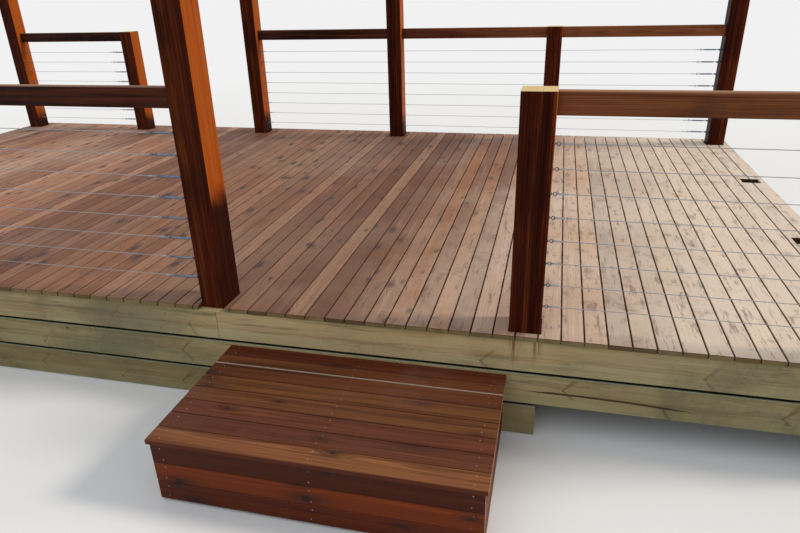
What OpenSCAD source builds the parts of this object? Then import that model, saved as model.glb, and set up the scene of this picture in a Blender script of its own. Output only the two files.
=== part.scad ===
// Raised timber deck with a box step, tall and short posts, and a balustrade of taut wires.
// X runs along the front of the deck, Y from the step to the back, Z up from the ground.
// The origin is on the ground, in the middle of the whole footprint.

/* [Decking] */
// Width of a decking board
board_w = 90; // [86:1:94]
// Thickness of a decking board
board_t = 22; // [19:1:32]
// Gap between two decking boards
board_gap = 5; // [3:0.5:8]
// Length of the boards, front edge to back edge
deck_depth = 3930; // [3700:10:4200]
// Height of the walking surface over the lowest ground
deck_h = 505; // [495:1:700]
// Eased edge along each dressed board
board_ease = 2; // [1:0.5:4]

/* [Posts] */
// Side of a square post
post_w = 135; // [115:1:150]
// Distance between two post lines, from the opening in the back row to the right end
bay = 1460; // [1440:5:1600]
// Distance between two post lines in the two bays on the left
left_bay = 1397; // [1300:1:1440]
// Middle of the last post line in from the right end of the deck
corner_in = 115; // [106:1:130]
// Middle of the first post line in from the left end of the deck
left_in = 116; // [106:1:260]
// Height of a tall post over the walking surface
tall_h = 2400; // [1500:10:3000]
// Height of a short post over the walking surface
short_h = 1004; // [950:1:1200]
// Face of a back post in from the back edge of the deck
back_in = 100; // [60:1:200]
// Eased edge along a post
post_ease = 3; // [1:0.5:8]
// Clear space left in the decking around a post
post_clear = 3; // [2:0.5:6]
// Middle of the two openings in the decking in from the right end
socket_in = 98; // [90:1:120]
// Width of these openings across the boards
socket_w = 125; // [100:1:140]
// Length of these openings along the boards
socket_l = 100; // [80:1:135]
// Distance from the front edge to the middle of the first opening
socket_y1 = 1355; // [1340:1:1400]
// Distance from the front edge to the middle of the second opening
socket_y2 = 2560; // [2540:1:2620]

/* [Edge boards] */
// Height of an edge board
edge_w = 150; // [130:1:155]
// Thickness of an edge board
edge_t = 35; // [25:1:38]
// Gap between two rows of edge boards
edge_gap = 15; // [5:1:18]
// Joint between the two top boards, in from the left face of the tall entry post
joint_in = 87; // [20:1:110]
// Gap at a butt joint
joint_gap = 2; // [1:0.5:4]

/* [Floor frame] */
// Height of a joist
joist_h = 140; // [90:1:160]
// Thickness of a joist
joist_t = 45; // [35:1:50]
// Number of joists between the two rows of posts
joists = 9; // [7:1:11]
// Height of a bearer
bearer_h = 140; // [90:1:140]
// Thickness of a bearer
bearer_t = 45; // [35:1:50]
// Eased edge along a frame timber
frame_ease = 3; // [1:0.5:5]

/* [Handrails] */
// Top of a handrail under the top of a short post
rail_under = 4; // [1:1:40]
// Height of a handrail
rail_w = 90; // [70:1:120]
// Thickness of a handrail
rail_t = 45; // [35:1:60]
// Eased edge along a handrail
rail_ease = 4; // [1:0.5:8]

/* [Wires] */
// Number of wires in a panel
wires = 8; // [6:1:8]
// Height of the first wire, and the distance between two wires
wire_step = 100; // [80:1:105]
// Diameter of a wire
wire_d = 3.2; // [2.5:0.1:4]
// Clear space around a wire where it runs through a post
wire_clear = 2; // [1:0.5:4]
// Radius of the loop at the end of a wire, to the middle of the wire
loop_r = 6; // [5.5:0.1:8]
// Angle at which the two legs of a loop close, each side
loop_angle = 22; // [18:1:30]
// Wall of the thimble inside a loop
thimble_t = 0.8; // [0.6:0.1:1.2]
// Length of the ferrule pressed on a loop
ferrule_len = 24; // [12:1:30]
// Thickness of the wall of a ferrule
ferrule_t = 1.4; // [1:0.1:3]
// Length of the cut end of the wire that shows past its ferrule
tail_len = 4; // [2:1:12]

/* [Screw eyes] */
// Middle of an eye out from its post
eye_out = 16; // [14:0.5:30]
// Radius of an eye, to the middle of its rod
eye_r = 7; // [6.5:0.5:9]
// Diameter of the rod of an eye
eye_rod = 4; // [3:0.5:4.5]
// Diameter of the collar of an eye
collar_d = 13; // [10:0.5:20]
// Thickness of the collar of an eye
collar_t = 2.5; // [2:0.5:5]

/* [Turnbuckles] */
// Diameter of the pin through a fork
pin_d = 4; // [3:0.5:5]
// Head of a pin past the cheeks, each side
pin_head = 1.5; // [1:0.5:3]
// Thickness of a fork cheek
cheek_t = 2.5; // [2:0.5:4]
// Width of a fork cheek
cheek_w = 10; // [8:0.5:14]
// Thickness of the bridge that joins the cheeks
bridge_t = 4; // [3:0.5:8]
// Clear space between an eye and the bridge of its fork
bridge_clear = 1; // [0.5:0.5:4]
// Clear space between two pieces that pull on each other
link_clear = 0.2; // [0.1:0.1:0.5]
// Diameter of a threaded rod
rod_d = 5; // [4:0.5:6]
// Length of rod that shows at each end of a body, on average
rod_len = 18; // [9:1:30]
// How much more or less of the rod shows from one wire to the next
take_up = 3; // [0:0.5:4]
// Diameter of a turnbuckle body
body_d = 11; // [9:0.5:18]
// Length of a turnbuckle body
body_len = 94; // [60:1:120]
// Length of the taper at each end of a body
taper_len = 6; // [3:1:12]
// Wall of a body round the rod, at its two ends
body_wall = 1.2; // [0.8:0.1:2]
// Diameter of the hole through the middle of a body, for a tommy bar
bar_hole_d = 3.5; // [2:0.5:4]
// Width across the corners of a lock nut
nut_w = 10; // [8:0.5:14]
// Thickness of a lock nut
nut_t = 4; // [3:0.5:6]

/* [Step] */
// Height of the step over the lowest ground
step_h = 308; // [300:1:400]
// Length of the step boards
step_w = 1315; // [1000:5:1400]
// Middle of the step to the right of the middle of the entry
step_shift = 8; // [0:1:60]
// Width of a whole step board
tread_w = 90; // [80:1:100]
// Thickness of the step boards
tread_t = 22; // [19:1:26]
// Gap between two step boards
tread_gap = 3; // [2:0.5:6]
// Number of whole step boards
treads = 6; // [4:1:8]
// Width of the ripped board at the back
rip_back = 84; // [60:1:90]
// Width of the ripped board before it
rip_front = 67; // [50:1:90]
// The wide gap in front of the ripped boards
wide_gap = 6; // [4:0.5:10]
// Gap between the step and the edge boards
step_clear = 0.5; // [0:0.5:5]
// How far the step boards stand out past the boards below
nosing = 10; // [4:1:25]
// Width of the boards on the front and sides of the step
skirt_w = 90; // [70:1:90]
// Gap between two of these boards
skirt_gap = 2; // [1:0.5:3]
// Thickness of a step joist and of a leg
leg_t = 45; // [35:1:50]
// Height of a step joist, and width of a leg
leg_w = 90; // [70:1:95]

/* [Hidden] */
$fn = 24;

// The post lines have names, counted from the left end
CORNER_L = 0;
SHORT_L = 1;
TALL_L = 2;
ENTRY_TALL = 3;
ENTRY_SHORT = 4;
CORNER_R = 5;
lines = [CORNER_L : CORNER_R];

// Plan of the deck and the step. Whole boards fill the deck, so their gap is fitted a little.
deck_len = corner_in + (CORNER_R - TALL_L) * bay + TALL_L * left_bay + left_in;
deck_boards = round((deck_len + board_gap) / (board_w + board_gap));
pitch = (deck_len - board_w) / (deck_boards - 1);
step_depth = rip_back + tread_gap + rip_front + wide_gap
    + treads * tread_w + (treads - 1) * tread_gap + step_clear;
left_x = -deck_len / 2;
right_x = deck_len / 2;
front_y = (step_depth - deck_depth) / 2;
back_y = front_y + deck_depth;
step_y = front_y - step_depth;

// The two rows of posts
half = post_w / 2;
function line_x(n) = right_x - corner_in - (CORNER_R - max(n, TALL_L)) * bay
    - max(TALL_L - n, 0) * left_bay;
front_row = front_y + edge_t + half;
back_row = back_y - back_in - half;

// Levels
joist_top = deck_h - board_t;
joist_z = joist_top - joist_h;
bearer_z = joist_z - bearer_h;
edge_z = [for (row = [1 : 3]) joist_top - row * edge_w - (row - 1) * edge_gap];
function wire_z(w) = deck_h + (w + 1) * wire_step;

// Joists stand clear of both rows of posts, and stumps stand in line with the two openings
joist_first = front_row + half + post_clear;
joist_last = back_row - half - post_clear - joist_t;
function joist_y(n) = joist_first + n * (joist_last - joist_first) / (joists - 1);
stump_y = [front_y + socket_y1, front_y + socket_y2];

// First decking board of the entry, and first board to its right
entry_board = floor((line_x(ENTRY_TALL) - half - left_x) / pitch);
right_board = ceil((line_x(ENTRY_SHORT) + half - left_x) / pitch);
joint_x = line_x(ENTRY_TALL) - half + joint_in;

// Step boards: back edge of each, out from the back of the step, and its width
tread_edges = concat(
    [0, rip_back + tread_gap],
    [for (n = [0 : treads - 1])
        rip_back + tread_gap + rip_front + wide_gap + n * (tread_w + tread_gap)]);
tread_widths = concat([rip_back, rip_front], [for (n = [0 : treads - 1]) tread_w]);
step_back = front_y - step_clear;
step_x = (line_x(ENTRY_TALL) + line_x(ENTRY_SHORT)) / 2 + step_shift - step_w / 2;
skirt_top = step_h - tread_t;
skirt_z = [for (row = [1 : 3]) skirt_top - row * skirt_w - (row - 1) * skirt_gap];
skirt_x0 = step_x + nosing;
skirt_x1 = step_x + step_w - nosing;
skirt_y = step_y + nosing;
frame_y = skirt_y + tread_t;
frame_x0 = skirt_x0 + tread_t;
frame_x1 = skirt_x1 - tread_t - leg_t;
frame_x = [frame_x0, (frame_x0 + frame_x1) / 2, frame_x1];

// How the fittings follow each other out from the face of a post.
// The rod that shows differs from wire to wire by a sine with this step in degrees.
show_turn = 137;
pin_x = eye_out + eye_r - eye_rod / 2 - pin_d / 2 - link_clear;
cheek_y = eye_rod / 2 + link_clear;
bridge_x = eye_out + eye_r + eye_rod / 2 + bridge_clear;
rod_x = bridge_x + bridge_t;
function show(w) = rod_len + take_up * sin(w * show_turn);
function body_x(w) = rod_x + show(w);
function body_end(w) = body_x(w) + body_len;
function ring_x(w) = body_end(w) + show(w) + eye_r;

// A loop hooks into a ring: its middle is this far past the middle of the ring
loop_out = eye_r - eye_rod / 2 - link_clear - thimble_t - wire_d / 2 + loop_r;
leg_x = loop_r * sin(loop_angle);
leg_y = loop_r * cos(loop_angle);
leg_len = (leg_y - wire_d / 2) / sin(loop_angle);
ferrule_x = leg_x + leg_len * cos(loop_angle);

// How far a cut runs past the faces that it opens
past = 1;

// Outline of a timber with eased edges
module outline(a, b, ease) {
    polygon([[ease, 0], [a - ease, 0], [a, ease], [a, b - ease],
             [a - ease, b], [ease, b], [0, b - ease], [0, ease]]);
}

// Timbers that run along each axis from their lowest corner
module timber_x(corner, length, y_size, z_size, ease) {
    translate(corner)
        rotate([90, 0, 90])
            linear_extrude(length)
                outline(y_size, z_size, ease);
}

module timber_y(corner, length, x_size, z_size, ease) {
    translate(corner + [0, length, 0])
        rotate([90, 0, 0])
            linear_extrude(length)
                outline(x_size, z_size, ease);
}

module timber_z(corner, length, x_size, y_size, ease) {
    translate(corner)
        linear_extrude(length)
            outline(x_size, y_size, ease);
}

// A rod along +X from a point
module rod(point, length, d, sides = $fn) {
    translate(point)
        rotate([0, 90, 0])
            cylinder(d = d, h = length, $fn = sides);
}

// A ring of eight-sided wire in the XZ plane, and one in the XY plane that is open towards +X
module ring(r, d) {
    rotate([90, 0, 0])
        rotate_extrude()
            translate([r, 0])
                rotate(180 / 8)
                    circle(d = d, $fn = 8);
}

module open_ring(r, open_angle) {
    rotate([0, 0, open_angle])
        rotate_extrude(angle = 360 - 2 * open_angle)
            translate([r, 0])
                children();
}

// Stumps carry the bearers and joists between the two rows of posts
module stumps() {
    color("darkkhaki")
        for (n = lines, y = stump_y)
            timber_z([line_x(n) - half, y - half, 0], joist_z, post_w, post_w, post_ease);
}

// A bearer is bolted to each side of a line of posts, and to the inner side at the two ends
module bearers() {
    color("khaki")
        for (n = lines, side = [-1, 1])
            if (n + side >= CORNER_L && n + side <= CORNER_R)
                timber_y([line_x(n) + side * half + (side - 1) / 2 * bearer_t,
                          front_y + edge_t, bearer_z],
                         deck_depth - 2 * edge_t, bearer_t, bearer_h, frame_ease);
}

module joists() {
    color("palegoldenrod")
        for (n = [0 : joists - 1])
            timber_x([left_x + edge_t, joist_y(n), joist_z],
                     deck_len - 2 * edge_t, joist_t, joist_h, frame_ease);
}

// Battens fill the space between the edge boards and the posts and stumps behind them
module edge_battens() {
    left_space = line_x(CORNER_L) - half - left_x - edge_t;
    right_space = corner_in - half - edge_t;
    color("darkkhaki") {
        for (y = stump_y) {
            timber_z([left_x + edge_t, y - half, 0], joist_z, left_space, post_w, frame_ease);
            timber_z([right_x - edge_t - right_space, y - half, 0],
                     joist_z, right_space, post_w, frame_ease);
        }
        for (y = [front_row, back_row]) {
            timber_z([left_x + edge_t, y - half, 0], joist_top, left_space, post_w, frame_ease);
            timber_z([right_x - edge_t - right_space, y - half, 0],
                     joist_top, right_space, post_w, frame_ease);
        }
        for (n = lines)
            timber_z([line_x(n) - half, back_row + half, 0],
                     joist_top, post_w, back_in - edge_t, frame_ease);
    }
}

// One run of decking, cut round the posts and for the two openings on the right
module decking(first, last) {
    difference() {
        for (i = [first : last])
            timber_y([left_x + i * pitch, front_y, joist_top],
                     deck_depth, board_w, board_t, board_ease);
        for (n = lines, y = [front_row, back_row])
            deck_cut(line_x(n), y, post_w + 2 * post_clear, post_w + 2 * post_clear);
        for (y = stump_y)
            deck_cut(right_x - socket_in, y, socket_w, socket_l);
        entry_cut();
    }
}

module deck_cut(x, y, width, length) {
    translate([x - width / 2, y - length / 2, joist_top - past])
        cube([width, length, board_t + 2 * past]);
}

// In front of the tall entry post the decking stops, and the edge board's top shows
module entry_cut() {
    side = post_w + 2 * post_clear;
    translate([line_x(ENTRY_TALL) - side / 2, front_y - past, joist_top - past])
        cube([side, edge_t + half, board_t + 2 * past]);
}

module decking_left() {
    color("sienna")
        decking(0, entry_board - 1);
}

module decking_entry() {
    color("peru")
        decking(entry_board, right_board - 1);
}

module decking_right() {
    color("sienna")
        decking(right_board, deck_boards - 1);
}

module front_edge(x0, x1, z) {
    timber_x([x0, front_y, z], x1 - x0, edge_t, edge_w, board_ease);
}

module front_edge_top_left() {
    color("palegoldenrod")
        front_edge(left_x, joint_x - joint_gap / 2, edge_z[0]);
}

module front_edge_top_right() {
    color("wheat")
        front_edge(joint_x + joint_gap / 2, right_x, edge_z[0]);
}

module front_edge_middle() {
    color("palegoldenrod")
        front_edge(left_x, right_x, edge_z[1]);
}

// The bottom board stops at the short entry post, where the ground is higher
module front_edge_bottom() {
    color("wheat")
        front_edge(left_x, line_x(ENTRY_SHORT) + half, edge_z[2]);
}

// Three rows of boards close each end of the deck and its back
module end_edge_boards(x) {
    for (z = edge_z)
        timber_y([x, front_y + edge_t + joint_gap, z],
                 deck_depth - 2 * edge_t - 2 * joint_gap, edge_t, edge_w, board_ease);
}

module left_edge_boards() {
    color("palegoldenrod")
        end_edge_boards(left_x);
}

module right_edge_boards() {
    color("palegoldenrod")
        end_edge_boards(right_x - edge_t);
}

module back_edge_boards() {
    color("wheat")
        for (z = edge_z)
            timber_x([left_x, back_y - edge_t, z], deck_len, edge_t, edge_w, board_ease);
}

// A square post that stands on the ground
module post(n, y, over_deck) {
    timber_z([line_x(n) - half, y - half, 0], deck_h + over_deck, post_w, post_w, post_ease);
}

// A post that the wires run through
module drilled_post(n, y, over_deck) {
    difference() {
        post(n, y, over_deck);
        for (w = [0 : wires - 1])
            rod([line_x(n) - half - past, y, wire_z(w)],
                post_w + 2 * past, wire_d + 2 * wire_clear);
    }
}

module front_left_corner_post() {
    color("maroon")
        post(CORNER_L, front_row, tall_h);
}

module front_left_short_post() {
    color("maroon")
        drilled_post(SHORT_L, front_row, short_h);
}

module front_left_tall_post() {
    color("maroon")
        drilled_post(TALL_L, front_row, tall_h);
}

module entry_tall_post() {
    color("maroon")
        post(ENTRY_TALL, front_row, tall_h);
}

module entry_short_post() {
    color("maroon")
        post(ENTRY_SHORT, front_row, short_h);
}

module front_right_corner_post() {
    color("maroon")
        post(CORNER_R, front_row, tall_h);
}

module back_left_corner_post() {
    color("maroon")
        post(CORNER_L, back_row, tall_h);
}

module back_left_short_post() {
    color("maroon")
        post(SHORT_L, back_row, short_h);
}

module back_opening_tall_post() {
    color("maroon")
        post(TALL_L, back_row, tall_h);
}

module back_middle_tall_post() {
    color("maroon")
        drilled_post(ENTRY_TALL, back_row, tall_h);
}

module back_right_short_post() {
    color("maroon")
        drilled_post(ENTRY_SHORT, back_row, short_h);
}

module back_right_corner_post() {
    color("maroon")
        post(CORNER_R, back_row, tall_h);
}

// A handrail fits between two posts
module rail(n, y) {
    timber_x([line_x(n) + half, y - rail_t / 2, deck_h + short_h - rail_under - rail_w],
             line_x(n + 1) - line_x(n) - post_w, rail_t, rail_w, rail_ease);
}

module front_left_rails() {
    color("darkred")
        for (n = [CORNER_L, SHORT_L, TALL_L])
            rail(n, front_row);
}

module front_right_rail() {
    color("darkred")
        rail(ENTRY_SHORT, front_row);
}

module back_left_rail() {
    color("darkred")
        rail(CORNER_L, back_row);
}

module back_right_rails() {
    color("darkred")
        for (n = [TALL_L, ENTRY_TALL, ENTRY_SHORT])
            rail(n, back_row);
}

// A screw eye: its collar sits on the face of the post
module screw_eye() {
    rod([0, 0, 0], collar_t, collar_d);
    rod([0, 0, 0], eye_out - eye_r, eye_rod);
    translate([eye_out, 0, 0])
        ring(eye_r, eye_rod);
}

// Two cheeks and the bridge behind the eye, with the pin that holds the eye between them
module fork() {
    outer_y = cheek_y + cheek_t;
    for (side = [-1, 1])
        translate([pin_x, side * (cheek_y + cheek_t / 2), 0]) {
            rotate([90, 0, 0])
                cylinder(d = cheek_w, h = cheek_t, center = true);
            translate([0, -cheek_t / 2, -cheek_w / 2])
                cube([rod_x - pin_x, cheek_t, cheek_w]);
        }
    translate([bridge_x, -outer_y, -cheek_w / 2])
        cube([bridge_t, 2 * outer_y, cheek_w]);
    translate([pin_x, 0, 0])
        rotate([90, 0, 0])
            cylinder(d = pin_d, h = 2 * (outer_y + pin_head), center = true);
}

// The body is a tube that narrows to its ends, with a hole through its middle
module turnbuckle_body() {
    end_r = rod_d / 2 + body_wall;
    difference() {
        rotate([0, 90, 0])
            rotate_extrude()
                polygon([[0, 0], [end_r, 0], [body_d / 2, taper_len],
                         [body_d / 2, body_len - taper_len], [end_r, body_len], [0, body_len]]);
        translate([body_len / 2, 0, 0])
            cylinder(d = bar_hole_d, h = body_d + 2 * past, center = true);
    }
}

// A fork, a rod with its lock nut, the body, the other nut, and the rod with its ring
module turnbuckle(w) {
    fork();
    rod([rod_x, 0, 0], show(w), rod_d);
    rod([body_x(w) - nut_t, 0, 0], nut_t, nut_w, 6);
    translate([body_x(w), 0, 0])
        turnbuckle_body();
    rod([body_end(w), 0, 0], nut_t, nut_w, 6);
    rod([body_end(w), 0, 0], show(w), rod_d);
    translate([ring_x(w), 0, 0])
        ring(eye_r, eye_rod);
}

// The end of a wire: a loop round its thimble, its legs, the ferrule and the cut tail.
// The wire leaves along +X from the middle of the loop.
module wire_end() {
    open_ring(loop_r, 90 - loop_angle)
        circle(d = wire_d, $fn = 8);
    open_ring(loop_r - wire_d / 2 - thimble_t, 90 - loop_angle)
        translate([0, -wire_d / 2])
            square([thimble_t + wire_d / 4, wire_d]);
    for (side = [-1, 1])
        translate([leg_x, side * leg_y, 0])
            rotate([0, 0, -side * loop_angle])
                rod([0, 0, 0], leg_len + wire_d / 4, wire_d, 8);
    for (side = [-1, 1])
        rod([ferrule_x, side * wire_d / 2, 0], ferrule_len, wire_d + 2 * ferrule_t);
    rod([ferrule_x, wire_d / 2, 0], ferrule_len + tail_len, wire_d, 8);
}

// A taut wire from one loop to the other
module wire(x0, x1, y, z) {
    translate([x0, y, z])
        wire_end();
    translate([x1, y, z])
        rotate([0, 0, 180])
            wire_end();
    rod([x0 + ferrule_x, y, z], x1 - x0 - 2 * ferrule_x, wire_d);
}

// One run of wires between two posts: turnbuckles stand on the first or on the last one
module wire_run(from, to, y, buckles_last) {
    for (w = [0 : wires - 1]) {
        plain = eye_out + loop_out;
        buckled = ring_x(w) + loop_out;
        wire(line_x(from) + half + (buckles_last ? plain : buckled),
             line_x(to) - half - (buckles_last ? buckled : plain), y, wire_z(w));
    }
}

module turnbuckles_on_left_of(n, y) {
    for (w = [0 : wires - 1])
        translate([line_x(n) - half, y, wire_z(w)])
            mirror([1, 0, 0])
                turnbuckle(w);
}

module eyes_on_right_of(n, y) {
    for (w = [0 : wires - 1])
        translate([line_x(n) + half, y, wire_z(w)])
            screw_eye();
}

module eyes_on_left_of(n, y) {
    for (w = [0 : wires - 1])
        translate([line_x(n) - half, y, wire_z(w)])
            mirror([1, 0, 0])
                screw_eye();
}

module front_left_wires() {
    color("silver")
        wire_run(CORNER_L, ENTRY_TALL, front_row, true);
}

module front_right_wires() {
    color("silver")
        wire_run(ENTRY_SHORT, CORNER_R, front_row, true);
}

module back_left_wires() {
    color("silver")
        wire_run(CORNER_L, SHORT_L, back_row, true);
}

module back_right_wires() {
    color("silver")
        wire_run(TALL_L, CORNER_R, back_row, true);
}

module front_left_turnbuckles() {
    color("gainsboro")
        turnbuckles_on_left_of(ENTRY_TALL, front_row);
}

module front_right_turnbuckles() {
    color("gainsboro")
        turnbuckles_on_left_of(CORNER_R, front_row);
}

module back_left_turnbuckles() {
    color("gainsboro")
        turnbuckles_on_left_of(SHORT_L, back_row);
}

module back_right_turnbuckles() {
    color("gainsboro")
        turnbuckles_on_left_of(CORNER_R, back_row);
}

module front_wire_eyes() {
    color("lightsteelblue") {
        for (n = [CORNER_L, ENTRY_SHORT])
            eyes_on_right_of(n, front_row);
        for (n = [ENTRY_TALL, CORNER_R])
            eyes_on_left_of(n, front_row);
    }
}

module back_wire_eyes() {
    color("lightsteelblue") {
        for (n = [CORNER_L, TALL_L])
            eyes_on_right_of(n, back_row);
        for (n = [SHORT_L, CORNER_R])
            eyes_on_left_of(n, back_row);
    }
}

// Two ripped boards at the back of the step, then the whole ones
module step_treads() {
    color("firebrick")
        for (n = [0 : treads + 1])
            timber_x([step_x, step_back - tread_edges[n] - tread_widths[n], skirt_top],
                     step_w, tread_widths[n], tread_t, board_ease);
}

module step_front_boards() {
    color("brown")
        for (z = skirt_z)
            timber_x([skirt_x0, skirt_y, z], skirt_x1 - skirt_x0, tread_t, skirt_w, board_ease);
}

module step_side_boards(x) {
    for (z = skirt_z)
        timber_y([x, frame_y, z], step_back - frame_y, tread_t, skirt_w, board_ease);
}

module step_left_boards() {
    color("brown")
        step_side_boards(skirt_x0);
}

module step_right_boards() {
    color("brown")
        step_side_boards(skirt_x1 - tread_t);
}

// Three joists carry the step boards, each on a front and a back leg
module step_frame() {
    color("khaki")
        for (x = frame_x)
            timber_y([x, frame_y, skirt_top - leg_w], step_back - frame_y,
                     leg_t, leg_w, frame_ease);
}

module step_legs() {
    color("darkkhaki")
        for (x = frame_x, y = [frame_y, step_back - leg_w])
            timber_z([x, y, 0], skirt_top - leg_w, leg_t, leg_w, frame_ease);
}

stumps();
bearers();
joists();
edge_battens();
decking_left();
decking_entry();
decking_right();
front_edge_top_left();
front_edge_top_right();
front_edge_middle();
front_edge_bottom();
left_edge_boards();
right_edge_boards();
back_edge_boards();
front_left_corner_post();
front_left_short_post();
front_left_tall_post();
entry_tall_post();
entry_short_post();
front_right_corner_post();
back_left_corner_post();
back_left_short_post();
back_opening_tall_post();
back_middle_tall_post();
back_right_short_post();
back_right_corner_post();
front_left_rails();
front_right_rail();
back_left_rail();
back_right_rails();
front_left_wires();
front_right_wires();
back_left_wires();
back_right_wires();
front_left_turnbuckles();
front_right_turnbuckles();
back_left_turnbuckles();
back_right_turnbuckles();
front_wire_eyes();
back_wire_eyes();
step_treads();
step_front_boards();
step_left_boards();
step_right_boards();
step_frame();
step_legs();
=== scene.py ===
import math
import random
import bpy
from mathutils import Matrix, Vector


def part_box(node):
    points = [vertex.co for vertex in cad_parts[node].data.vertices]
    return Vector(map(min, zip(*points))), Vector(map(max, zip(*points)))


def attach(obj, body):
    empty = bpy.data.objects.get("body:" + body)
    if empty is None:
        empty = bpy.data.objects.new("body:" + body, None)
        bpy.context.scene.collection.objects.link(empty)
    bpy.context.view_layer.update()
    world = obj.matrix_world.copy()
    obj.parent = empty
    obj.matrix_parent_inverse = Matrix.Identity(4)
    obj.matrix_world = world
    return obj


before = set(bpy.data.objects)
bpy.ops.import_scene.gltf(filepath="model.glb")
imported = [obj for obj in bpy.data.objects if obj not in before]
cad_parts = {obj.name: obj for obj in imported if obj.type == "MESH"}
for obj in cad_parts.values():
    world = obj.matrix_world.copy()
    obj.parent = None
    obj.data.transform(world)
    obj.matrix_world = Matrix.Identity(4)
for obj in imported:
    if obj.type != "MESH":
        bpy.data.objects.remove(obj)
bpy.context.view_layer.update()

from types import SimpleNamespace

import bpy
from mathutils import Matrix, Vector

bpy.ops.object.select_all(action="DESELECT")


# The viewer stands on the ground before the right half of the deck, a little over head height.
# They look down on the step and through the entry, and hold the camera with a slight roll.
eye_place = Vector((2.192, -3.966, 1.872))
look = Vector((-0.2234, 0.8857, -0.4070)).normalized()
right = Vector((0.9720, 0.2334, -0.0258))
right = (right - look * right.dot(look)).normalized()
turned = Matrix((right, right.cross(look), -look)).transposed().to_4x4()
camera_data = bpy.data.cameras.new("view")
camera_data.sensor_width, camera_data.lens = 36, 28.36
camera = bpy.data.objects.new("view", camera_data)
camera.matrix_world = Matrix.Translation(eye_place) @ turned
bpy.context.scene.collection.objects.link(camera)
bpy.context.scene.camera = camera
bpy.context.scene.view_settings.view_transform = "Standard"


# A plain pale studio floor that fades into an equally pale surround a few metres out. It throws
# back only as much light as bare ground does, so that the space under the deck is dark.
# Soft light comes from all round, from a broad low lamp on the right, and from the front.
def put(tree, kind, inputs=None, **settings):
    """Adds a node to a tree. An input gets a value, or a link where it is given a socket."""
    made = tree.nodes.new(kind)
    for name, value in settings.items():
        setattr(made, name, value)
    for name, value in (inputs or {}).items():
        if isinstance(value, bpy.types.NodeSocket):
            tree.links.new(value, made.inputs[name])
        else:
            made.inputs[name].default_value = value
    return made


def maths(operation, *values, clamp=False):
    """Adds a Math node on one to three values, in the tree of the first that is a socket."""
    tree = next(value.id_data for value in values if isinstance(value, bpy.types.NodeSocket))
    made = put(tree, "ShaderNodeMath", dict(enumerate(values)), operation=operation)
    made.use_clamp = clamp
    return made.outputs[0]


def times(*values, clamp=False):
    return maths("MULTIPLY", *values, clamp=clamp)


def scaled(*values, clamp=False):
    """The first value times the second, plus the third."""
    return maths("MULTIPLY_ADD", *values, clamp=clamp)


def between(value, start, end):
    """Rises smoothly from 0 to 1 as the value goes from start to end."""
    return put(value.id_data, "ShaderNodeMapRange", {
        "Value": value, "From Min": start, "From Max": end},
        interpolation_type="SMOOTHSTEP").outputs[0]


def new_material(name):
    """Starts a material: itself and its empty node tree."""
    made = bpy.data.materials.new(name)
    made.use_nodes = True
    made.node_tree.nodes.clear()
    return made, made.node_tree


def seen_directly(tree):
    """1 where a ray comes from the camera or from a shiny surface."""
    ray = put(tree, "ShaderNodeLightPath").outputs
    return maths("ADD", ray["Is Camera Ray"], ray["Is Glossy Ray"], clamp=True)


BACKDROP = (0.88, 0.88, 0.88, 1)
floor_size, fade_start, fade_end = 60, 5.5, 12
bpy.ops.mesh.primitive_plane_add(size=floor_size, location=(0, 0, 0))
floor = bpy.context.object
floor.name = "studio_floor"
pale, tree = new_material("Pale studio floor")
place = put(tree, "ShaderNodeTexCoord").outputs["Object"]
distance = put(tree, "ShaderNodeVectorMath", {0: place}, operation="LENGTH").outputs["Value"]
fade = between(distance, fade_start, fade_end)
seen = seen_directly(tree)
tone = scaled(seen, 0.50, 0.28)
matt = put(tree, "ShaderNodeBsdfDiffuse", {"Color": put(tree, "ShaderNodeCombineColor", {
    0: tone, 1: tone, 2: tone}).outputs[0]})
glow = put(tree, "ShaderNodeEmission", {"Color": BACKDROP, "Strength": 1})
mix = put(tree, "ShaderNodeMixShader", {0: times(fade, seen),
                                        1: matt.outputs[0], 2: glow.outputs[0]})
put(tree, "ShaderNodeOutputMaterial", {"Surface": mix.outputs[0]})
floor.data.materials.append(pale)
floor.select_set(False)

world = bpy.data.worlds.new("Studio surround")
world.use_nodes = True
tree = world.node_tree
tree.nodes.clear()
light = put(tree, "ShaderNodeBackground", {"Color": (0.94, 0.97, 1.0, 1), "Strength": 0.60})
backdrop = put(tree, "ShaderNodeBackground", {"Color": BACKDROP, "Strength": 1})
mix = put(tree, "ShaderNodeMixShader", {
    0: put(tree, "ShaderNodeLightPath").outputs["Is Camera Ray"],
    1: light.outputs[0], 2: backdrop.outputs[0]})
put(tree, "ShaderNodeOutputWorld", {"Surface": mix.outputs[0]})
bpy.context.scene.world = world

for name, strength, spread, source, tint in (
        ("low_warm_side", 2.2, 12, Vector((0.80, 0.16, 0.56)), (1.0, 0.93, 0.82)),
        ("soft_front", 0.6, 60, Vector((-0.35, -0.70, 0.75)), (0.95, 0.97, 1.0))):
    lamp_data = bpy.data.lights.new(name, "SUN")
    lamp_data.energy = strength
    lamp_data.angle = math.radians(spread)
    lamp_data.color = tint
    lamp = bpy.data.objects.new(name, lamp_data)
    lamp.rotation_euler = source.to_track_quat("Z", "Y").to_euler()
    bpy.context.scene.collection.objects.link(lamp)


# The frame under the deck: square stumps, bearers bolted along the lines of posts, joists across
# them, and battens behind the edge boards. It is rough sawn treated pine, greenish and weathered.
def new_group(name, inputs, outputs):
    """Starts a shader node group. Inputs and outputs map a socket's name to its kind."""
    tree = bpy.data.node_groups.new(name, "ShaderNodeTree")
    for sockets, side in ((inputs, "INPUT"), (outputs, "OUTPUT")):
        for socket, kind in sockets.items():
            tree.interface.new_socket(socket, in_out=side, socket_type="NodeSocket" + kind)
    return tree


def split(vector):
    """The three parts of a vector."""
    return put(vector.id_data, "ShaderNodeSeparateXYZ", {0: vector}).outputs


def minus(*values):
    return maths("SUBTRACT", *values)


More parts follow.
